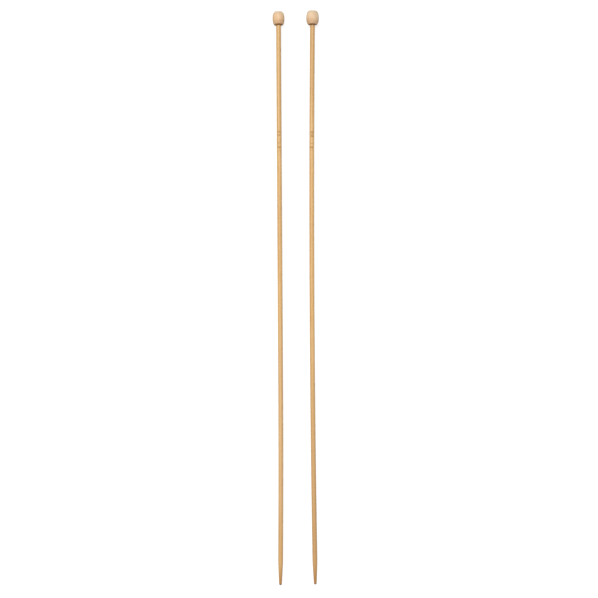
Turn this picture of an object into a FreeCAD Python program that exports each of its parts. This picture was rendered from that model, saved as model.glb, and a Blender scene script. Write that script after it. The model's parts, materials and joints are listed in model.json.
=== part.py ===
import FreeCAD, Part

# A pair of straight, single-pointed knitting needles, lying side by side on a flat surface.
#
# Each needle is a round bamboo stick, tapered to a blunt rounded point at one end. The other end is
# glued into the blind bore of a turned wooden knob, which keeps the stitches on. The sticks are
# slightly bowed, as bamboo is, and lie with the bow flat. A needle rests on the widest ring of its
# knob and on the shoulder of its point, so its knob end stands a little higher than its point end.
#
# Frame: X across the pair, Y along the needles with the knobs at +Y, Z up from the surface.
# The origin is on the surface, in the middle of the pair.

import math
import os
from collections import namedtuple

from FreeCAD import Placement, Rotation, Vector

# Driving dimensions, in millimetres and degrees.

NEEDLE_LENGTH = 355.0  # crown of the knob to the end of the point
SHAFT_RADIUS = 1.5

POINT_LENGTH = 14.0  # shoulder of the taper to the end of the nose
NOSE_RADIUS = 0.85
SHOULDER_BLEND = 2.0  # length of the curve from the straight side into the taper
STRAIGHT_ABOVE_POINT = 20.0  # full-diameter stretch beside the point, free of any bow

BORE_RADIUS = 1.6
BORE_DEPTH = 6.0
DRILL_POINT_ANGLE = 118.0
MOUTH_CHAMFER = 0.25  # broken edge where the bore meets the underside of the knob
SHAFT_END_GAP = 0.3  # glue between the end of the shaft and the floor of the bore
SHAFT_END_CHAMFER = 0.3

NEEDLE_SPACING = 21.1  # between the two knob axes
STAGGER = 0.4  # how much further back the right needle lies than the left

# A knob's shoulder and rim are quarters of ellipses, longer along its axis than across it.
Knob = namedtuple("Knob", "radius height crown_along crown_across rim_along rim_across")

# heading: how far the needle turns from -Y at its knob, anticlockwise seen from above
# bow_start: distance from the crown at which the stick begins to bow
# bow: how far the stick turns in all, anticlockwise seen from above
Needle = namedtuple("Needle", "name knob heading bow_start bow")

LEFT = Needle(
    name="left",
    knob=Knob(
        radius=3.66,
        height=8.4,
        crown_along=3.4,
        crown_across=1.75,
        rim_along=3.8,
        rim_across=1.5,
    ),
    heading=0.33,
    bow_start=232.0,
    bow=-0.57,
)
RIGHT = Needle(
    name="right",
    knob=Knob(
        radius=3.86,
        height=8.5,
        crown_along=4.0,
        crown_across=1.5,
        rim_along=3.8,
        rim_across=1.5,
    ),
    heading=-0.45,
    bow_start=12.0,
    bow=1.37,
)

# Worked out from them. Along a needle, every distance is counted from the crown of its knob.

SHOULDER_AT = NEEDLE_LENGTH - POINT_LENGTH
STRAIGHT_END = SHOULDER_AT - SHOULDER_BLEND / 2
BOW_END = STRAIGHT_END - STRAIGHT_ABOVE_POINT
LEFT_KNOB_X = -(NEEDLE_SPACING + RIGHT.knob.radius - LEFT.knob.radius) / 2
RIGHT_KNOB_X = LEFT_KNOB_X + NEEDLE_SPACING
CROWNS_Y = NEEDLE_LENGTH / 2

ALONG_Y = Vector(0, 1, 0)
UP = Vector(0, 0, 1)


def at(along, across=0.0):
    """Point in a needle's own frame, where the crown is the origin and the needle runs along -Y."""
    return Vector(across, -along, 0)


def turned(edges):
    """Solid made by turning a closed outline of edges once round the needle's own axis."""
    face = Part.Face(Part.Wire(edges))
    return face.revolve(at(0), ALONG_Y, 360)


def straight_edges(points):
    """Straight edges from each point to the next."""
    return [Part.makeLine(start, end) for start, end in zip(points, points[1:])]


def quarter_ellipse(centre, end, side):
    """Quarter of an ellipse, from the end of its longer half axis to the end of its shorter one."""
    return Part.Ellipse(end, side, centre).toShape(0, math.pi / 2)


def bore_floor(knob):
    """Distance from the crown to the full-width floor of the knob's bore."""
    return knob.height - BORE_DEPTH


def bore_tip(knob):
    """Distance from the crown to the bottom of the cone that the drill leaves."""
    return bore_floor(knob) - BORE_RADIUS / math.tan(math.radians(DRILL_POINT_ANGLE / 2))


def bore_mouth(knob):
    """Distance from the crown to the bore's broken edge."""
    return knob.height - MOUTH_CHAMFER


def shaft_start(knob):
    """Distance from the crown to the hidden end of the shaft."""
    return bore_floor(knob) + SHAFT_END_GAP


def widest_ring(knob):
    """Distance from the crown to the end of the knob's widest stretch, which it rests on."""
    return knob.height - knob.rim_along


def knob_solid(knob):
    """Turned knob: flat crown, rounded shoulder, short straight side, rounded rim, blind bore."""
    crown_flat = knob.radius - knob.crown_across
    rim_flat = knob.radius - knob.rim_across
    shoulder_centre = at(knob.crown_along, crown_flat)
    shoulder_top = at(0, crown_flat)
    side_top = at(knob.crown_along, knob.radius)
    side_bottom = at(widest_ring(knob), knob.radius)
    rim_centre = at(widest_ring(knob), rim_flat)
    rim_bottom = at(knob.height, rim_flat)
    underside_and_bore = [
        rim_bottom,
        at(knob.height, BORE_RADIUS + MOUTH_CHAMFER),
        at(bore_mouth(knob), BORE_RADIUS),
        at(bore_floor(knob), BORE_RADIUS),
        at(bore_tip(knob)),
        at(0),
        shoulder_top,
    ]
    edges = [
        quarter_ellipse(shoulder_centre, shoulder_top, side_top),
        Part.makeLine(side_top, side_bottom),
        quarter_ellipse(rim_centre, rim_bottom, side_bottom),
    ]
    return turned(edges + straight_edges(underside_and_bore))


def glue_solid(knob):
    """Glue round the shaft and below its end, filling what the shaft leaves of the bore."""
    start = shaft_start(knob)
    outline = [
        at(bore_tip(knob)),
        at(bore_floor(knob), BORE_RADIUS),
        at(bore_mouth(knob), BORE_RADIUS),
        at(bore_mouth(knob), SHAFT_RADIUS),
        at(start + SHAFT_END_CHAMFER, SHAFT_RADIUS),
        at(start, SHAFT_RADIUS - SHAFT_END_CHAMFER),
        at(start),
        at(bore_tip(knob)),
    ]
    return turned(straight_edges(outline))


def butt_solid(needle):
    """Straight end of the stick, chamfered where it sits in the knob."""
    start = shaft_start(needle.knob)
    outline = [
        at(start),
        at(start, SHAFT_RADIUS - SHAFT_END_CHAMFER),
        at(start + SHAFT_END_CHAMFER, SHAFT_RADIUS),
        at(needle.bow_start, SHAFT_RADIUS),
        at(needle.bow_start),
        at(start),
    ]
    return turned(straight_edges(outline))


def bow_centre(needle):
    """Centre of the long arc that the bowed stretch follows."""
    return at(needle.bow_start, (BOW_END - needle.bow_start) / math.radians(needle.bow))


def bowed_solid(needle):
    """Gently bowed middle of the stick: its round section swung about the bow's centre."""
    section = Part.makeCircle(SHAFT_RADIUS, at(needle.bow_start), ALONG_Y)
    return Part.Face(Part.Wire(section)).revolve(bow_centre(needle), UP, needle.bow)


def beyond_bow(needle):
    """Placement that carries the stick's unbowed lower end to where the bow leaves it."""
    back_to_bow_start = Placement(Vector(0, BOW_END - needle.bow_start, 0), Rotation())
    swing = Placement(Vector(), Rotation(UP, needle.bow), bow_centre(needle))
    return swing.multiply(back_to_bow_start)


def point_solid():
    """Lower end of the stick as if unbowed: straight stretch, shoulder, cone and ball nose."""
    nose_centre = NEEDLE_LENGTH - NOSE_RADIUS
    # The cone's side runs from the shoulder to where it touches the ball.
    to_nose = nose_centre - SHOULDER_AT
    reach = math.hypot(to_nose, SHAFT_RADIUS)
    slope = math.atan2(SHAFT_RADIUS, to_nose) - math.asin(NOSE_RADIUS / reach)

    def on_ball(angle):
        return at(nose_centre + NOSE_RADIUS * math.sin(angle), NOSE_RADIUS * math.cos(angle))

    # The shoulder is an arc that touches the straight side and the cone.
    half = SHOULDER_BLEND / 2
    shoulder_radius = half / math.tan(slope / 2)

    def on_shoulder(angle):
        along = STRAIGHT_END + shoulder_radius * math.sin(angle)
        return at(along, SHAFT_RADIUS - shoulder_radius * (1 - math.cos(angle)))

    edges = [
        Part.makeLine(at(BOW_END), at(BOW_END, SHAFT_RADIUS)),
        Part.makeLine(at(BOW_END, SHAFT_RADIUS), on_shoulder(0)),
        Part.Arc(on_shoulder(0), on_shoulder(slope / 2), on_shoulder(slope)).toShape(),
        Part.makeLine(on_shoulder(slope), on_ball(slope)),
        Part.Arc(on_ball(slope), on_ball(math.pi / 4), on_ball(math.pi / 2)).toShape(),
        Part.makeLine(at(NEEDLE_LENGTH), at(BOW_END)),
    ]
    return turned(edges)


def shaft_solid(needle):
    """Whole stick in one piece."""
    point = point_solid()
    point.Placement = beyond_bow(needle)
    return butt_solid(needle).fuse([bowed_solid(needle), point]).Solids[0]


def resting_place(needle):
    """Where the needle lies, touching the surface with its knob and with the end of its full width."""
    knob = needle.knob
    rise = knob.radius - SHAFT_RADIUS
    tilt = math.atan(rise / (STRAIGHT_END - widest_ring(knob)))
    crown_z = knob.radius * math.cos(tilt) + widest_ring(knob) * math.sin(tilt)
    crown_x = LEFT_KNOB_X if needle is LEFT else RIGHT_KNOB_X
    crown_y = CROWNS_Y + (STAGGER / 2 if needle is RIGHT else -STAGGER / 2)
    turn = Rotation(UP, needle.heading).multiply(Rotation(Vector(1, 0, 0), math.degrees(tilt)))
    return Placement(Vector(crown_x, crown_y, crown_z), turn)


def save_needle(needle):
    """Lay the needle's pieces in place and save each as a sub-part of its own."""
    pieces = {
        "shaft": shaft_solid(needle),
        "knob": knob_solid(needle.knob),
        "glue": glue_solid(needle.knob),
    }
    for piece, solid in pieces.items():
        solid.Placement = resting_place(needle).multiply(solid.Placement)
        solid.exportStep(f"parts/{needle.name}_{piece}.step")


os.makedirs("parts", exist_ok=True)
for needle in (LEFT, RIGHT):
    save_needle(needle)
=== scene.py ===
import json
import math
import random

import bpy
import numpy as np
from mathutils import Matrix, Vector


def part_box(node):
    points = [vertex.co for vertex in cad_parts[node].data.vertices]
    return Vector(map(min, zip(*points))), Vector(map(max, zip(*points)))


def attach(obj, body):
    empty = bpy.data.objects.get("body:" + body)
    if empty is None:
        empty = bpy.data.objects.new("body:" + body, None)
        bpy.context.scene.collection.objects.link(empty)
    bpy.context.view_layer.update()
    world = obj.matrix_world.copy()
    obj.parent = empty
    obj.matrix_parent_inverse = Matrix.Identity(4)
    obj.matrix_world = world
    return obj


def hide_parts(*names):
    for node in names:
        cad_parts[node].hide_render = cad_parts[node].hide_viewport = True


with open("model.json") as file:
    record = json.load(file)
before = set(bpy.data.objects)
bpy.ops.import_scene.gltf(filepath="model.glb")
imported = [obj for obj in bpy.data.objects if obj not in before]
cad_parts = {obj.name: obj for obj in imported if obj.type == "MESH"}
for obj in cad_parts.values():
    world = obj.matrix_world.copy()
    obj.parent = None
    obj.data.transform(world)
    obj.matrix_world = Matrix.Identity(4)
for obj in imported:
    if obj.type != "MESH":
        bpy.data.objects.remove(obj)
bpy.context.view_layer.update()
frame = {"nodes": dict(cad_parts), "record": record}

# A pair of straight bamboo knitting needles with turned wooden knobs, seen from straight above.
#
# The CAD shafts, knobs and glue are replaced by finer meshes of the same shape, built along each
# needle's own axis as the CAD mesh gives it. Along a needle, every distance is counted from the crown
# of its knob, and an angle round it is counted from straight up towards +X. Lengths are in metres,
# except in the tick marks and the materials, which count in millimetres.

MM = 0.001
SIDES = ("left", "right")
MOUNTS = {mount["name"]: mount for mount in frame["record"]["mounts"]}

# The point and the knobs, as the CAD model makes them.
POINT_LENGTH = 14.0 * MM
NOSE_RADIUS = 0.85 * MM
SHOULDER_BLEND = 2.0 * MM
BORE_RADIUS = 1.6 * MM
BORE_DEPTH = 6.0 * MM
BORE_CONE_DEPTH = 0.96 * MM
MOUTH_CHAMFER = 0.25 * MM
SHAFT_END_CHAMFER = 0.3 * MM
KNOB_ROUNDINGS = {  # shoulder along, across, then rim along, across
    "left": (3.4 * MM, 1.75 * MM, 3.8 * MM, 1.5 * MM),
    "right": (4.0 * MM, 1.5 * MM, 3.8 * MM, 1.5 * MM),
}
TURNED_LINES = {"left": (5.9 * MM,), "right": (5.45 * MM, 6.7 * MM)}  # shallow scored lines
TURNED_LINE_HALF_WIDTH = 0.14 * MM
TURNED_LINE_DEPTH = 0.025 * MM
GLUE_CLEARANCE = 0.004 * MM  # keeps the glue's skin off the bore and the shaft
GLUE_BEAD = 0.11 * MM  # how far the bead at the mouth climbs the shaft
GLUE_SWELL = 0.02 * MM  # unevenness of the bead
AXIS_GAP = 0.02 * MM  # an outline stops this far from the axis, and a fan of triangles closes it

# Plain tick marks burnt across the top of each stick: distance from the crown, half length along the
# stick and bearing in degrees, then how dark they are.
TICKS = {
    "left": (
        (74.3, 0.45, 2, 0.80),
        (76.5, 0.45, 0, 0.65),
        (81.2, 0.35, -2, 0.60),
        (83.9, 0.50, 0, 0.85),
        (86.1, 0.25, -4, 0.30),
    ),
    "right": (
        (75.0, 0.50, 10, 1.00),
        (76.3, 0.35, 14, 0.75),
        (77.5, 0.50, 12, 0.95),
        (82.0, 0.35, -2, 0.60),
        (84.4, 0.50, -6, 0.95),
        (86.2, 0.25, -8, 0.40),
    ),
}
TICK_HALF_ANGLE = math.radians(40)
TICK_EDGE = 0.14 * MM
TICK_DEPTH = 0.03 * MM
TICK_ZONE = (72.8 * MM, 88.0 * MM)

# Fine relief of the surfaces.
FIBRE_GROOVES = 620
FIBRE_GROOVE_DEPTH = 0.010 * MM
GRINDING_SPACING = 0.9 * MM  # of the rings that grinding leaves on the point
GRINDING_DEPTH = 0.002 * MM
GRINDING_FADE = 2 * MM  # over which they begin below the shoulder
NOSE_FADE = 0.5 * MM  # over which relief dies out towards each end of the stick
BUTT_FADE = 0.6 * MM
TOOL_LINES = 60  # lathe lines down a knob
TOOL_LINE_DEPTH = 0.004 * MM
CENTRE_MARK_DEPTH = 0.05 * MM  # dimple that the lathe's centre leaves in the crown
CENTRE_MARK_RADIUS = 0.35 * MM

# Fineness of the meshes.
RING_GAP = 0.05 * MM  # two CAD vertices further apart along the needle are on different rings
RING_VERTICES = 12  # fewer in a group isn't a full ring of the shaft
RING_FULL_WIDTH = 0.995  # a ring at less of the shaft's radius is on the taper or a chamfer
SHAFT_AROUND = 88
SHAFT_STEP = 0.42 * MM
TICK_STEP = 0.11 * MM
POINT_STEP = 0.16 * MM
NOSE_STEPS = 14
KNOB_AROUND = 160
KNOB_STEP = 0.09 * MM
SHOULDER_STEPS = 44
RIM_STEPS = 40
BEAD_POINTS = 9
SHAFT_CREASE = 60  # edges that turn by more than this many degrees stay sharp
KNOB_CREASE = 40
GLUE_CREASE = 50


def smoothstep(low, high, value):
    """0 below low, 1 above high, and a smooth rise between them."""
    t = np.clip((value - low) / (high - low), 0.0, 1.0)
    return t * t * (3 - 2 * t)


def unit(vectors):
    """The same directions at length 1."""
    return vectors / np.linalg.norm(vectors, axis=-1, keepdims=True)


class Needle:
    """Where one needle lies, read from the meshes of its CAD nodes."""

    def __init__(self, side):
        self.side = side
        self.body = f"{side}_needle"
        self.radius = MOUNTS[f"{side}_shaft_end"]["dims"]["r_mm"] * MM
        centres, tangents = self.read_rings(frame["nodes"][f"{side}_shaft"])
        knob = np.array([v.co for v in frame["nodes"][f"{side}_knob"].data.vertices])
        crown = (centres[0] - knob) @ tangents[0]
        self.shaft_start = crown.max()
        self.knob_height = np.ptp(crown)
        low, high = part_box(f"{side}_knob")
        self.knob_radius = (high.x - low.x) / 2
        gaps = np.linalg.norm(np.diff(centres, axis=0), axis=1)
        self.stations = self.shaft_start + np.concatenate([[0.0], np.cumsum(gaps)])
        self.centres = centres
        self.tangents = tangents
        shaft = np.array([v.co for v in frame["nodes"][f"{side}_shaft"].data.vertices])
        past_last = ((shaft - centres[-1]) @ tangents[-1]).max()
        self.length = self.stations[-1] + past_last
        self.shoulder = self.length - POINT_LENGTH

    def read_rings(self, node):
        """Centre and direction of each full-width ring of vertices, from the knob to the point."""
        corners = np.unique(np.round([v.co for v in node.data.vertices], 7), axis=0)
        corners = corners[np.argsort(-corners[:, 1])]
        cuts = np.nonzero(-np.diff(corners[:, 1]) > RING_GAP)[0] + 1
        centres, tangents = [], []
        for ring in np.split(corners, cuts):
            centre = ring.mean(axis=0)
            spread = np.linalg.norm(ring - centre, axis=1)
            if len(ring) < RING_VERTICES or spread.min() < RING_FULL_WIDTH * self.radius:
                continue
            normal = np.linalg.svd(ring - centre)[2][2]
            centres.append(centre)
            tangents.append(normal if normal[1] < 0 else -normal)
        return np.array(centres), np.array(tangents)

    def axes_at(self, along):
        """Centre, sideways, upward and pointward directions at each distance from the crown."""
        along = np.atleast_1d(along)
        last = len(self.stations) - 2
        i = np.clip(np.searchsorted(self.stations, along) - 1, 0, last)
        span = (self.stations[i + 1] - self.stations[i])[:, None]
        t = (along[:, None] - self.stations[i][:, None]) / span
        inside = np.clip(t, 0.0, 1.0)
        start, end = self.centres[i], self.centres[i + 1]
        leave, arrive = self.tangents[i] * span, self.tangents[i + 1] * span
        t2, t3 = inside**2, inside**3
        centre = (
            (2 * t3 - 3 * t2 + 1) * start
            + (t3 - 2 * t2 + inside) * leave
            + (3 * t2 - 2 * t3) * end
            + (t3 - t2) * arrive
        )
        tangent = unit(
            (6 * t2 - 6 * inside) * (start - end)
            + (3 * t2 - 4 * inside + 1) * leave
            + (3 * t2 - 2 * inside) * arrive
        )
        centre = centre + (t - inside) * span * tangent
        sideways = unit(np.cross(np.array([0.0, 0.0, 1.0]), -tangent))
        upward = np.cross(sideways, -tangent)
        upward *= np.sign(upward[:, 2:3])
        sideways *= np.sign(sideways[:, 0:1])
        return centre, sideways, upward, tangent

    def place(self, along, angle, radius):
        """Points at the given distances, angles and radii, as an array of rings by points."""
        centre, sideways, upward, _ = self.axes_at(along)
        across = radius * np.sin(angle)
        above = radius * np.cos(angle)
        return (
            centre[:, None, :]
            + across[..., None] * sideways[:, None, :]
            + above[..., None] * upward[:, None, :]
        )


def ring_mesh(name, needle, along, angle, radius):
    """Closed mesh of rings of points. along is one distance a ring; the others are rings by points."""
    points = needle.place(along, angle, radius)
    rings, around = angle.shape
    straight = np.stack(
        [radius * np.sin(angle), np.broadcast_to(along[:, None], angle.shape), radius * np.cos(angle)],
        axis=-1,
    )
    index = np.arange(rings * around).reshape(rings, around)
    following = np.roll(index, -1, axis=1)
    quads = np.stack([index[:-1], index[1:], following[1:], following[:-1]], axis=-1)
    verts = points.reshape(-1, 3)
    straight = straight.reshape(-1, 3)
    faces = quads.reshape(-1, 4).tolist()
    ends = needle.axes_at(np.array([along[0], along[-1]]))[0]
    first, last = len(verts), len(verts) + 1
    verts = np.vstack([verts, ends])
    straight = np.vstack([straight, [[0, along[0], 0], [0, along[-1], 0]]])
    faces += [[first, a, b] for a, b in zip(index[0], following[0])]
    faces += [[last, b, a] for a, b in zip(index[-1], following[-1])]
    mesh = bpy.data.meshes.new(name)
    mesh.from_pydata(verts.tolist(), [], faces)
    grain = mesh.attributes.new("grain", "FLOAT_VECTOR", "POINT")
    grain.data.foreach_set("vector", (straight / MM).astype(np.float32).ravel())
    mesh.update()
    return mesh


def mark_points(mesh, name, values):
    """Attribute with a value for each point of the rings, and 0 at the two end centres."""
    attribute = mesh.attributes.new(name, "FLOAT", "POINT")
    attribute.data.foreach_set("value", np.append(values, [0.0, 0.0]).astype(np.float32))


def shown(mesh, crease_angle):
    """Object that shows a mesh, smooth but for creases sharper than the angle."""
    mesh.shade_smooth()
    mesh.set_sharp_from_angle(angle=math.radians(crease_angle))
    piece = bpy.data.objects.new(mesh.name, mesh)
    bpy.context.scene.collection.objects.link(piece)
    return piece


def cone_slope(needle):
    """Angle between the side of the point and its axis: it runs from the shoulder to the nose ball."""
    reach = POINT_LENGTH - NOSE_RADIUS
    to_side = math.hypot(reach, needle.radius)
    return math.atan2(needle.radius, reach) - math.asin(NOSE_RADIUS / to_side)


def shaft_stations(needle):
    """Distances of a shaft's rings: even down the stick, closer on the point, by angle on the nose."""
    slope = cone_slope(needle)
    nose_start = needle.length - NOSE_RADIUS * (1 - math.sin(slope))
    stick_end = needle.shoulder - SHOULDER_BLEND
    above_ticks = np.arange(needle.shaft_start, TICK_ZONE[0], SHAFT_STEP)
    ticks = np.arange(TICK_ZONE[0], TICK_ZONE[1], TICK_STEP)
    below_ticks = np.arange(TICK_ZONE[1], stick_end, SHAFT_STEP)
    point = np.arange(stick_end, nose_start, POINT_STEP)
    turns = np.linspace(slope, math.pi / 2, NOSE_STEPS + 1)[:-1]
    nose = needle.length - NOSE_RADIUS * (1 - np.sin(turns))
    return np.concatenate([above_ticks, ticks, below_ticks, point, nose])


def shaft_radius(needle, along):
    """Radius of the stick at each distance: straight, then shoulder, cone and ball nose."""
    slope = cone_slope(needle)
    from_tip = np.maximum(needle.length - along, 0.0)
    ball = np.sqrt(np.maximum(NOSE_RADIUS**2 - (NOSE_RADIUS - from_tip) ** 2, 0.0))
    cone = needle.radius - (along - needle.shoulder) * math.tan(slope)
    half = SHOULDER_BLEND / 2
    into_blend = np.clip(along - needle.shoulder + half, 0.0, SHOULDER_BLEND)
    blend = needle.radius - into_blend**2 * math.tan(slope) / (2 * SHOULDER_BLEND)
    side = np.where(along > needle.shoulder + half, cone, blend)
    on_ball = from_tip < NOSE_RADIUS * (1 - math.sin(slope))
    return np.where(on_ball, ball, side)


def fibre_relief(needle, along, angle, rng):
    """Depth of the shallow grooves that bamboo fibres leave, from 0 to 1, on rings by points."""
    depth = np.zeros(angle.shape)
    for _ in range(FIBRE_GROOVES):
        middle = rng.uniform(needle.shaft_start, needle.length)
        half_length = rng.uniform(3.0, 26.0) * MM
        bearing = rng.uniform(0, 2 * math.pi)
        half_width = rng.uniform(0.07, 0.16) * MM / needle.radius
        drift = rng.uniform(-0.10, 0.10) / half_length
        strength = rng.uniform(0.25, 1.0)
        rows = np.nonzero(np.abs(along - middle) < half_length)[0]
        if len(rows) == 0:
            continue
        reach = (along[rows, None] - middle) / half_length
        away = angle[rows] - bearing - drift * (along[rows, None] - middle)
        away = np.abs((away + math.pi) % (2 * math.pi) - math.pi)
        groove = np.exp(-((away / half_width) ** 2)) * (1 - reach**2) * strength
        depth[rows] = np.maximum(depth[rows], groove)
    return depth


def tick_marks(needle, along, angle):
    """How strongly each point is burnt by a tick mark, from 0 to 1, on rings by points."""
    burnt = np.zeros(angle.shape)
    edge_angle = TICK_EDGE / needle.radius
    for middle, half_length, bearing, strength in TICKS[needle.side]:
        beyond = np.abs(along - middle * MM) - half_length * MM
        lengthwise = smoothstep(TICK_EDGE / 2, -TICK_EDGE / 2, beyond)
        away = (angle - math.radians(bearing) + math.pi) % (2 * math.pi) - math.pi
        crosswise = smoothstep(edge_angle / 2, -edge_angle / 2, np.abs(away) - TICK_HALF_ANGLE)
        burnt = np.maximum(burnt, strength * lengthwise[:, None] * crosswise)
    return burnt


def make_shaft(needle, seed):
    """Bamboo stick: the CAD stick's shape with fibre grooves and a hand-finished point."""
    rng = random.Random(seed)
    along = shaft_stations(needle)
    turns = np.linspace(0, 2 * math.pi, SHAFT_AROUND, endpoint=False)
    angle = np.broadcast_to(turns, (len(along), SHAFT_AROUND)).copy()
    radius = shaft_radius(needle, along)[:, None]
    groove = fibre_relief(needle, along, angle, rng)
    on_nose = smoothstep(needle.length - NOSE_FADE, needle.length, along)[:, None]
    on_butt = smoothstep(needle.shaft_start + BUTT_FADE, needle.shaft_start, along)[:, None]
    grinding = np.sin(along * 2 * math.pi / GRINDING_SPACING + rng.uniform(0, 6))[:, None]
    ground = smoothstep(needle.shoulder, needle.shoulder + GRINDING_FADE, along)[:, None]
    burnt = tick_marks(needle, along, angle)
    relief = -FIBRE_GROOVE_DEPTH * groove * (1 - on_nose) * (1 - on_butt)
    relief = relief + GRINDING_DEPTH * grinding * ground * (1 - on_nose) - TICK_DEPTH * burnt
    mesh = ring_mesh(f"{needle.side}_bamboo_shaft", needle, along, angle, radius + relief)
    mark_points(mesh, "fibre", groove)
    mark_points(mesh, "burnt", burnt)
    return shown(mesh, SHAFT_CREASE)


def ellipse_quarter(start, end, steps, leave_across):
    """Outline points (along, across) on a quarter ellipse between two ends, without the last."""
    turn = np.linspace(0, math.pi / 2, steps, endpoint=False)
    if leave_across:
        along = start[0] + (end[0] - start[0]) * (1 - np.cos(turn))
        across = start[1] + (end[1] - start[1]) * np.sin(turn)
    else:
        along = start[0] + (end[0] - start[0]) * np.sin(turn)
        across = start[1] + (end[1] - start[1]) * (1 - np.cos(turn))
    return np.stack([along, across], axis=1)


def straight_run(start, end):
    """Outline points on a straight stretch at about the knob's step, without the last."""
    steps = max(2, round(math.dist(start, end) / KNOB_STEP))
    return np.linspace(start, end, steps, endpoint=False)


def knob_outline(needle):
    """Outline of the knob as (along, across), from the crown's centre round to the bore's tip."""
    shoulder_along, shoulder_across, rim_along, rim_across = KNOB_ROUNDINGS[needle.side]
    radius, height = needle.knob_radius, needle.knob_height
    floor = height - BORE_DEPTH
    centre = (0.0, AXIS_GAP)
    crown_edge = (0.0, radius - shoulder_across)
    side_top = (shoulder_along, radius)
    side_bottom = (height - rim_along, radius)
    rim_bottom = (height, radius - rim_across)
    mouth = (height, BORE_RADIUS + MOUTH_CHAMFER)
    throat = (height - MOUTH_CHAMFER, BORE_RADIUS)
    bore_end = (floor, BORE_RADIUS)
    tip = (floor - BORE_CONE_DEPTH, AXIS_GAP)
    return np.vstack(
        [
            straight_run(centre, crown_edge),
            ellipse_quarter(crown_edge, side_top, SHOULDER_STEPS, leave_across=True),
            straight_run(side_top, side_bottom),
            ellipse_quarter(side_bottom, rim_bottom, RIM_STEPS, leave_across=False),
            straight_run(rim_bottom, mouth),
            straight_run(mouth, throat),
            straight_run(throat, bore_end),
            straight_run(bore_end, tip),
            [tip],
        ]
    )


def make_knob(needle, seed):
    """Turned knob: the CAD knob's shape with fine lathe lines, scored lines and a centre mark."""
    rng = np.random.default_rng(seed)
    outline = knob_outline(needle)
    along = outline[:, 0]
    turns = np.linspace(0, 2 * math.pi, KNOB_AROUND, endpoint=False)
    angle = np.broadcast_to(turns, (len(along), KNOB_AROUND)).copy()
    radius = np.broadcast_to(outline[:, 1:2], angle.shape).copy()
    outer = smoothstep(0.6 * needle.knob_radius, 0.8 * needle.knob_radius, outline[:, 1])
    tool_places = np.linspace(0, needle.knob_height, TOOL_LINES)
    tool = np.interp(along, tool_places, rng.normal(0, 1, TOOL_LINES))
    scored = np.zeros(len(along))
    for line in TURNED_LINES[needle.side]:
        scored += outer * np.exp(-(((along - line) / TURNED_LINE_HALF_WIDTH) ** 2))
    cut = outer * TOOL_LINE_DEPTH * (1.5 + tool) + TURNED_LINE_DEPTH * scored
    radius = radius - cut[:, None]
    on_crown = along < 0.5 * MM
    dimple = CENTRE_MARK_DEPTH * np.exp(-((outline[:, 1] / CENTRE_MARK_RADIUS) ** 2)) * on_crown
    mesh = ring_mesh(f"{needle.side}_turned_knob", needle, along + dimple, angle, radius)
    mark_points(mesh, "scored", np.broadcast_to(scored[:, None], angle.shape))
    return shown(mesh, KNOB_CREASE)


def make_glue(needle, seed):
    """Glue that fills the bore round and past the shaft, with an uneven bead at the bore's mouth."""
    rng = random.Random(seed)
    floor = needle.knob_height - BORE_DEPTH
    mouth = needle.knob_height - MOUTH_CHAMFER
    tip = (floor - BORE_CONE_DEPTH + GLUE_CLEARANCE, AXIS_GAP)
    outer = BORE_RADIUS - GLUE_CLEARANCE
    inner = needle.radius + GLUE_CLEARANCE
    past_end = needle.shaft_start - GLUE_CLEARANCE
    chamfer_side = (past_end + SHAFT_END_CHAMFER, inner)
    chamfer_end = (past_end, inner - SHAFT_END_CHAMFER)
    climb = np.linspace(0, math.pi / 2, BEAD_POINTS)
    bead_along = mouth + GLUE_BEAD * np.sin(climb)
    bead_across = inner + (outer - inner) * np.cos(climb)
    outline = np.vstack(
        [
            straight_run(tip, (floor, outer)),
            straight_run((floor, outer), (mouth, outer)),
            np.stack([bead_along, bead_across], axis=1),
            straight_run((mouth, inner), chamfer_side),
            straight_run(chamfer_side, chamfer_end),
            straight_run(chamfer_end, (past_end, AXIS_GAP)),
        ]
    )
    turns = np.linspace(0, 2 * math.pi, SHAFT_AROUND, endpoint=False)
    angle = np.broadcast_to(turns, (len(outline), SHAFT_AROUND)).copy()
    along, across = outline[:, 0], outline[:, 1]
    swell = sum(math.pow(0.7, k) * np.sin(k * turns + rng.uniform(0, 6)) for k in range(1, 7))
    on_bead = smoothstep(mouth, mouth + 0.3 * GLUE_BEAD, along) * smoothstep(inner, outer, across)
    radius = across[:, None] + GLUE_SWELL * on_bead[:, None] * swell
    mesh = ring_mesh(f"{needle.side}_glue_line", needle, along, angle, radius)
    return shown(mesh, GLUE_CREASE)


# ---------------------------------------------------------------- materials


def linear(red, green, blue):
    """Scene-linear colour from an 8-bit sRGB one."""

    def channel(value):
        value /= 255
        return value / 12.92 if value <= 0.04045 else ((value + 0.055) / 1.055) ** 2.4

    return (channel(red), channel(green), channel(blue), 1.0)


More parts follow.
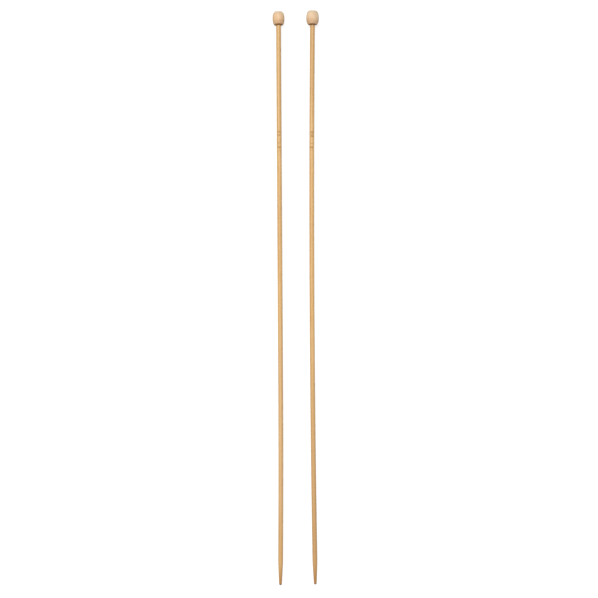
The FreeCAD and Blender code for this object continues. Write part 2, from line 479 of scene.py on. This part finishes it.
class Material:
    """A material whose nodes are added one call at a time."""

    def __init__(self, name):
        self.material = bpy.data.materials.new(name)
        self.material.use_nodes = True
        self.tree = self.material.node_tree
        self.tree.nodes.clear()
        self.shader = self.node("ShaderNodeBsdfPrincipled")
        self.node("ShaderNodeOutputMaterial", {"Surface": self.shader.outputs["BSDF"]})

    def node(self, kind, inputs=None, **settings):
        made = self.tree.nodes.new(kind)
        for name, value in settings.items():
            setattr(made, name, value)
        for key, value in (inputs or {}).items():
            self.feed(made.inputs[key], value)
        return made

    def feed(self, socket, value):
        if isinstance(value, bpy.types.NodeSocket):
            self.tree.links.new(value, socket)
        else:
            socket.default_value = value

    def set(self, **sockets):
        """Feed the shader's own sockets, named with _ for a space."""
        for name, value in sockets.items():
            self.feed(self.shader.inputs[name.replace("_", " ")], value)

    def attribute(self, name, output="Vector"):
        return self.node("ShaderNodeAttribute", attribute_name=name).outputs[output]

    def math(self, operation, first, second=0.0):
        made = self.node("ShaderNodeMath", {0: first, 1: second}, operation=operation)
        return made.outputs[0]

    def vector(self, operation, first, second):
        made = self.node("ShaderNodeVectorMath", {0: first, 1: second}, operation=operation)
        return made.outputs[0]

    def stretched(self, coordinates, across, along):
        """Coordinates for a pattern whose features are so wide and so long, in millimetres."""
        return self.vector("MULTIPLY", coordinates, (1 / across, 1 / along, 1 / across))

    def along(self, grain):
        """Distance from the crown, in millimetres, as a socket."""
        return self.node("ShaderNodeSeparateXYZ", {0: grain}).outputs["Y"]

    def across(self, grain):
        """Distance from the needle's axis, in millimetres, as a socket."""
        flat = self.vector("MULTIPLY", grain, (1.0, 0.0, 1.0))
        return self.node("ShaderNodeVectorMath", {0: flat}, operation="LENGTH").outputs["Value"]

    def noise(self, coordinates, detail=2.0, roughness=0.5, output="Fac"):
        inputs = {"Vector": coordinates, "Scale": 1.0, "Detail": detail, "Roughness": roughness}
        return self.node("ShaderNodeTexNoise", inputs).outputs[output]

    def cells(self, coordinates):
        """Distance from the nearest of scattered points."""
        inputs = {"Vector": coordinates, "Scale": 1.0, "Randomness": 1.0}
        return self.node("ShaderNodeTexVoronoi", inputs).outputs["Distance"]

    def between(self, value, low, high, to_low=0.0, to_high=1.0):
        """Maps low..high to to_low..to_high, smoothly and clamped."""
        inputs = {
            "Value": value,
            "From Min": low,
            "From Max": high,
            "To Min": to_low,
            "To Max": to_high,
        }
        made = self.node("ShaderNodeMapRange", inputs, interpolation_type="SMOOTHSTEP")
        return made.outputs["Result"]

    def mix(self, factor, first, second):
        """Colour that goes from the first to the second as the factor goes from 0 to 1."""
        made = self.node("ShaderNodeMix", data_type="RGBA", blend_type="MIX")
        self.feed(made.inputs[0], factor)
        self.feed(made.inputs[6], first)
        self.feed(made.inputs[7], second)
        return made.outputs[2]

    def bump(self, height, distance, strength=1.0):
        inputs = {"Height": height, "Distance": distance, "Strength": strength}
        return self.node("ShaderNodeBump", inputs).outputs["Normal"]


# How strongly each stick changes tone along its length, and where, in millimetres from the crown; the
# darkening toward the point and the darkening just below the knob are painted shade.
# The point's places are counted back from its end.
DARKER_TOWARD_POINT = {"left": 0.35, "right": 0.75}
DARKER_NEAR_KNOB = {"left": 0.22, "right": 0.34}
SHADE_BELOW_KNOB = {"left": 0.0, "right": 0.4}
PALE_STRETCH = {"left": 0.38, "right": 0.08}
NEAR_KNOB_FADE = (105, 25)
SHADE_BELOW_KNOB_LENGTH = 1.6
PALE_START = (180, 215)
PALE_END = (330, 300)
TOWARD_POINT_BEFORE_END = (185, 14)
ON_POINT_BEFORE_END = (14, 1)
ON_NOSE_BEFORE_END = (1.2, 0.35)


def bamboo(name, shift, needle):
    """Polished bamboo: long fine fibres, darker bundles cut by the surface, a darker ground point, and
    painted shade toward the point and just below the knob.
    """
    m = Material(name)
    straight = m.attribute("grain")
    along = m.along(straight)
    grain = m.vector("ADD", straight, (shift, 3.7 * shift, 2.3 * shift))
    wander = m.noise(m.stretched(grain, 9.0, 45.0), detail=1.0, output="Color")
    wander = m.vector("MULTIPLY", m.vector("SUBTRACT", wander, (0.5, 0.5, 0.5)), (1.6, 0.0, 1.6))
    grain = m.vector("ADD", grain, wander)

    bands = m.noise(m.stretched(grain, 1.3, 70.0), detail=2.0)
    fibres = m.noise(m.stretched(grain, 0.16, 16.0), detail=3.0, roughness=0.6)
    bundles = m.cells(m.stretched(grain, 0.50, 26.0))
    pores = m.cells(m.stretched(grain, 0.26, 5.0))
    bundle_mask = m.between(bundles, 0.30, 0.08)
    pore_mask = m.between(pores, 0.16, 0.05)
    fibre_mask = m.attribute("fibre", "Fac")

    colour = m.mix(m.between(bands, 0.3, 0.7), linear(190, 146, 88), linear(204, 164, 107))
    colour = m.mix(m.between(fibres, 0.35, 0.75), colour, linear(209, 172, 117))
    colour = m.mix(m.math("MULTIPLY", bundle_mask, 0.38), colour, linear(158, 108, 56))
    colour = m.mix(m.math("MULTIPLY", fibre_mask, 0.22), colour, linear(150, 102, 54))
    colour = m.mix(m.math("MULTIPLY", pore_mask, 0.30), colour, linear(108, 70, 36))

    length = needle.length / MM
    near_knob = m.math("MULTIPLY", m.between(along, *NEAR_KNOB_FADE), DARKER_NEAR_KNOB[needle.side])
    colour = m.mix(near_knob, colour, linear(170, 130, 82))
    knob_end = needle.knob_height / MM
    # Painted shade on the stick just below the knob's mouth.
    below_knob_end = m.between(along, knob_end + SHADE_BELOW_KNOB_LENGTH, knob_end)
    mouth_shade = m.math("MULTIPLY", below_knob_end, SHADE_BELOW_KNOB[needle.side])
    colour = m.mix(mouth_shade, colour, linear(122, 82, 42))
    # Painted shade: the lower part of each stick is darker, as the light falls off toward the point.
    toward_point = m.between(along, *(length - back for back in TOWARD_POINT_BEFORE_END))
    darkening = DARKER_TOWARD_POINT[needle.side]
    colour = m.mix(m.math("MULTIPLY", toward_point, darkening), colour, linear(176, 135, 88))
    pale = m.math("MULTIPLY", m.between(along, *PALE_START), m.between(along, *PALE_END))
    pale = m.math("MULTIPLY", pale, PALE_STRETCH[needle.side])
    colour = m.mix(pale, colour, linear(200, 164, 120))
    on_point = m.between(along, *(length - back for back in ON_POINT_BEFORE_END))
    colour = m.mix(m.math("MULTIPLY", on_point, 0.75), colour, linear(160, 112, 62))
    ragged = m.math("ADD", along, m.math("MULTIPLY", m.math("SUBTRACT", fibres, 0.5), 0.9))
    on_nose = m.between(ragged, *(length - back for back in ON_NOSE_BEFORE_END))
    colour = m.mix(m.math("MULTIPLY", on_nose, 0.9), colour, linear(86, 54, 28))

    char = m.between(m.noise(m.stretched(straight, 0.25, 0.35), detail=2.0), 0.3, 0.6, 0.7, 1.0)
    burnt = m.math("MULTIPLY", m.attribute("burnt", "Fac"), char)
    colour = m.mix(m.math("MULTIPLY", burnt, 0.66), colour, linear(136, 88, 28))

    rough = m.between(fibres, 0.3, 0.7, 0.40, 0.52)
    rough = m.math("ADD", rough, m.math("MULTIPLY", burnt, 0.25))
    height = m.math("ADD", m.math("MULTIPLY", fibres, 0.5), m.math("MULTIPLY", bundle_mask, -0.5))
    m.set(Base_Color=colour, Roughness=rough, Normal=m.bump(height, 0.02 * MM, 0.5))
    m.set(Specular_IOR_Level=0.3, Coat_Weight=0.06, Coat_Roughness=0.3)
    return m.material


KNOB_TONES = {  # the darker and the paler wood
    "left": (linear(201, 165, 128), linear(213, 181, 145)),
    "right": (linear(200, 171, 140), linear(211, 187, 156)),
}
# The painted shade on each knob's underside: where its edge starts and where it is full, in millimetres
# before the knob's end. It rises at a slant, which brings the shade further up the rim on top, so a place
# past the end, given as less than 0, is reached there only.
PAINTED_SHADE_BEFORE_END = {"left": (0.50, -0.10), "right": (0.15, -0.35)}
PAINTED_SHADE_SLANT = 0.14
FACING_CUT = 0.28  # spacing of the lathe's rings on the crown, in millimetres


def knob_wood(name, shift, needle):
    """Pale turned hardwood: growth rings, fine grain along the axis, flecks and a sealed surface, with
    painted shade toward the rim, in the scored lines and under the knob.
    """
    m = Material(name)
    straight = m.attribute("grain")
    along = m.along(straight)
    grain = m.vector("ADD", straight, (shift, 1.9 * shift, 2.7 * shift))
    wander = m.noise(m.stretched(grain, 5.0, 14.0), detail=2.0, output="Color")
    wander = m.vector("MULTIPLY", m.vector("SUBTRACT", wander, (0.5, 0.5, 0.5)), (1.4, 0.0, 1.4))
    bent = m.vector("ADD", grain, wander)

    rings = m.node("ShaderNodeTexWave", wave_type="RINGS", rings_direction="Y", wave_profile="SAW")
    m.feed(rings.inputs["Vector"], m.vector("ADD", bent, (19.0, 0.0, 7.0)))
    m.feed(rings.inputs["Scale"], 0.16)
    m.feed(rings.inputs["Distortion"], 0.6)
    m.feed(rings.inputs["Detail"], 1.5)
    fibres = m.noise(m.stretched(bent, 0.14, 2.6), detail=4.0, roughness=0.6)
    blotches = m.noise(m.stretched(grain, 3.0, 5.0), detail=1.0)
    flecks = m.between(m.cells(m.stretched(bent, 0.34, 1.5)), 0.20, 0.07)

    colour = m.mix(m.between(blotches, 0.35, 0.65), *KNOB_TONES[needle.side])
    colour = m.mix(m.math("MULTIPLY", rings.outputs["Fac"], 0.35), colour, linear(196, 156, 116))
    colour = m.mix(m.math("MULTIPLY", m.between(fibres, 0.4, 0.75), 0.8), colour, linear(216, 187, 153))
    colour = m.mix(m.math("MULTIPLY", flecks, 0.35), colour, linear(156, 110, 74))

    # Painted shade in the scored lines.
    scored = m.math("MULTIPLY", m.attribute("scored", "Fac"), 0.35)
    colour = m.mix(scored, colour, linear(150, 104, 66))
    height = needle.knob_height / MM
    # Painted shade: the knob grows darker toward its rim, where the surface turns away from the light.
    shade_toward_rim = m.between(along, 0.3 * height, 0.95 * height)
    colour = m.mix(m.math("MULTIPLY", shade_toward_rim, 0.5), colour, linear(180, 136, 95))
    worn = m.between(along, 3.0, 0.2)
    colour = m.mix(m.math("MULTIPLY", worn, 0.65), colour, linear(184, 169, 144))
    crown = m.between(along, 0.6, 0.1)
    pores = m.between(m.cells(m.stretched(grain, 0.20, 1.0)), 0.34, 0.12)
    year_rings = m.math("MULTIPLY", m.math("POWER", rings.outputs["Fac"], 2.0), 0.45)
    colour = m.mix(m.math("MULTIPLY", crown, year_rings), colour, linear(158, 124, 84))
    colour = m.mix(m.math("MULTIPLY", crown, m.math("MULTIPLY", pores, 0.5)), colour, linear(124, 90, 58))
    # Painted shade under the knob: dark brown over the underside and the lower rim, with a ragged edge.
    shade_edge_noise = m.noise(m.stretched(grain, 0.8, 2.0), detail=1.0)
    ragged = m.math("ADD", along, m.math("MULTIPLY", m.math("SUBTRACT", shade_edge_noise, 0.5), 0.5))
    above = m.node("ShaderNodeSeparateXYZ", {0: straight}).outputs["Z"]
    slanted = m.math("ADD", ragged, m.math("MULTIPLY", above, PAINTED_SHADE_SLANT))
    start, full = PAINTED_SHADE_BEFORE_END[needle.side]
    slanted_shade = m.between(slanted, height - start, height - full)
    underside_shade = m.math("MAXIMUM", slanted_shade, m.between(ragged, height - 0.25, height - 0.02))
    colour = m.mix(m.math("MULTIPLY", underside_shade, 0.95), colour, linear(104, 64, 26))
    # Amber glue residue round the bore. Its darker colour under the knob is also painted shade.
    near_bore = m.between(m.across(straight), 2.9, 2.5)
    glue_and_shade_near_bore = m.math("MULTIPLY", near_bore, m.between(along, height - 1.0, height - 0.8))
    colour = m.mix(m.math("MULTIPLY", glue_and_shade_near_bore, 0.6), colour, linear(170, 124, 66))

    rough = m.between(fibres, 0.3, 0.7, 0.50, 0.62)
    rough = m.math("ADD", rough, m.math("MULTIPLY", underside_shade, 0.25))
    facing_cuts = m.math("SINE", m.math("MULTIPLY", m.across(straight), 2 * math.pi / FACING_CUT))
    end_grain = m.math("SUBTRACT", m.math("MULTIPLY", facing_cuts, 0.4), pores)
    surface = m.math("SUBTRACT", fibres, m.math("MULTIPLY", flecks, 0.6))
    surface = m.math("ADD", surface, m.math("MULTIPLY", crown, end_grain))
    m.set(Base_Color=colour, Roughness=rough, Normal=m.bump(surface, 0.02 * MM, 0.5))
    m.set(Specular_IOR_Level=0.20, Coat_Weight=0.03, Coat_Roughness=0.35)
    return m.material


def glue():
    """Dried wood glue: amber, slightly cloudy, glossy."""
    m = Material("dried_glue")
    place = m.node("ShaderNodeTexCoord").outputs["Object"]
    cloud = m.noise(m.vector("MULTIPLY", place, (900.0, 900.0, 900.0)), detail=2.0)
    m.set(Base_Color=m.mix(cloud, linear(150, 108, 58), linear(190, 146, 88)))
    m.set(Roughness=m.between(cloud, 0.3, 0.7, 0.2, 0.4))
    return m.material


def pale_floor():
    """Plain matt white board."""
    m = Material("pale_board")
    place = m.node("ShaderNodeTexCoord").outputs["Object"]
    tooth = m.noise(m.vector("MULTIPLY", place, (400.0, 400.0, 400.0)), detail=3.0)
    m.set(Base_Color=(0.22, 0.22, 0.22, 1.0), Roughness=0.9, Normal=m.bump(tooth, 0.02 * MM, 0.2))
    m.set(Emission_Color=(1.0, 1.0, 1.0, 1.0), Emission_Strength=0.80)
    return m.material


# ---------------------------------------------------------------- stage

FLOOR_HALF = 25.0
CAMERA_HEIGHT = 0.88
VIEW_WIDTH = 0.37135  # of the floor, across the picture
VIEW_CENTRE = (2.08 * MM, -0.35 * MM)
SENSOR_MM = 36.0
KEY_PLACE = (-0.5, 1.0, 3.8)
KEY_WIDTH = 1.4
KEY_WATTS = 198.0
HORIZON_BAND = (0.02, 0.11)  # heights between which the world goes from the horizon's light to the sky's
HORIZON_LIGHT = 0.85
SKY_LIGHT = 0.15


def make_floor():
    """Plain board that the pair lies on, wide enough to end close below the horizon in low views."""
    corners = [(-FLOOR_HALF, -FLOOR_HALF), (FLOOR_HALF, -FLOOR_HALF)]
    corners += [(FLOOR_HALF, FLOOR_HALF), (-FLOOR_HALF, FLOOR_HALF)]
    mesh = bpy.data.meshes.new("floor")
    mesh.from_pydata([(x, y, 0.0) for x, y in corners], [], [(0, 1, 2, 3)])
    floor = bpy.data.objects.new("floor", mesh)
    bpy.context.scene.collection.objects.link(floor)
    mesh.materials.append(pale_floor())


def make_camera():
    """Camera straight above the pair, framed by how much of the floor it takes in."""
    camera = bpy.data.cameras.new("camera")
    camera.sensor_width = SENSOR_MM
    camera.lens = SENSOR_MM * CAMERA_HEIGHT / VIEW_WIDTH
    camera.clip_start = 0.01
    seen_from = bpy.data.objects.new("camera", camera)
    seen_from.location = (*VIEW_CENTRE, CAMERA_HEIGHT)
    bpy.context.scene.collection.objects.link(seen_from)
    bpy.context.scene.camera = seen_from


def make_light(name, place, width, watts):
    """Square soft light that faces the middle of the pair."""
    light = bpy.data.lights.new(name, "AREA")
    light.shape = "SQUARE"
    light.size = width
    light.energy = watts
    lamp = bpy.data.objects.new(name, light)
    lamp.location = place
    lamp.rotation_euler = (-Vector(place)).to_track_quat("-Z", "Y").to_euler()
    bpy.context.scene.collection.objects.link(lamp)


def make_world():
    """Even soft light, with a pale low band that meets the far edge of the floor."""
    world = bpy.data.worlds.new("studio")
    world.use_nodes = True
    tree = world.node_tree
    direction = tree.nodes.new("ShaderNodeTexCoord").outputs["Generated"]
    height = tree.nodes.new("ShaderNodeSeparateXYZ")
    tree.links.new(direction, height.inputs[0])
    band = tree.nodes.new("ShaderNodeMapRange")
    band.interpolation_type = "SMOOTHSTEP"
    tree.links.new(height.outputs["Z"], band.inputs["Value"])
    low, high = HORIZON_BAND
    settings = {"From Min": low, "From Max": high, "To Min": HORIZON_LIGHT, "To Max": SKY_LIGHT}
    for name, value in settings.items():
        band.inputs[name].default_value = value
    background = tree.nodes["Background"]
    background.inputs["Color"].default_value = (1.0, 1.0, 1.0, 1.0)
    tree.links.new(band.outputs["Result"], background.inputs["Strength"])
    bpy.context.scene.world = world


# ---------------------------------------------------------------- making

needles = {side: Needle(side) for side in SIDES}
glue_material = glue()
for number, needle in enumerate(needles.values(), start=1):
    shaft = make_shaft(needle, seed=number)
    shaft.data.materials.append(bamboo(f"{needle.side}_bamboo", 11.0 * number, needle))
    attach(shaft, needle.body)
    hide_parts(f"{needle.side}_shaft")

    knob = make_knob(needle, seed=number)
    knob.data.materials.append(knob_wood(f"{needle.side}_knob_wood", 7.0 * number, needle))
    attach(knob, needle.body)
    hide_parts(f"{needle.side}_knob")

    glue_line = make_glue(needle, seed=number)
    glue_line.data.materials.append(glue_material)
    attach(glue_line, needle.body)
    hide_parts(f"{needle.side}_glue")

make_floor()
make_camera()
make_light("key", KEY_PLACE, KEY_WIDTH, KEY_WATTS)
make_world()
bpy.context.scene.view_settings.view_transform = "Standard"

bpy.context.view_layer.update()
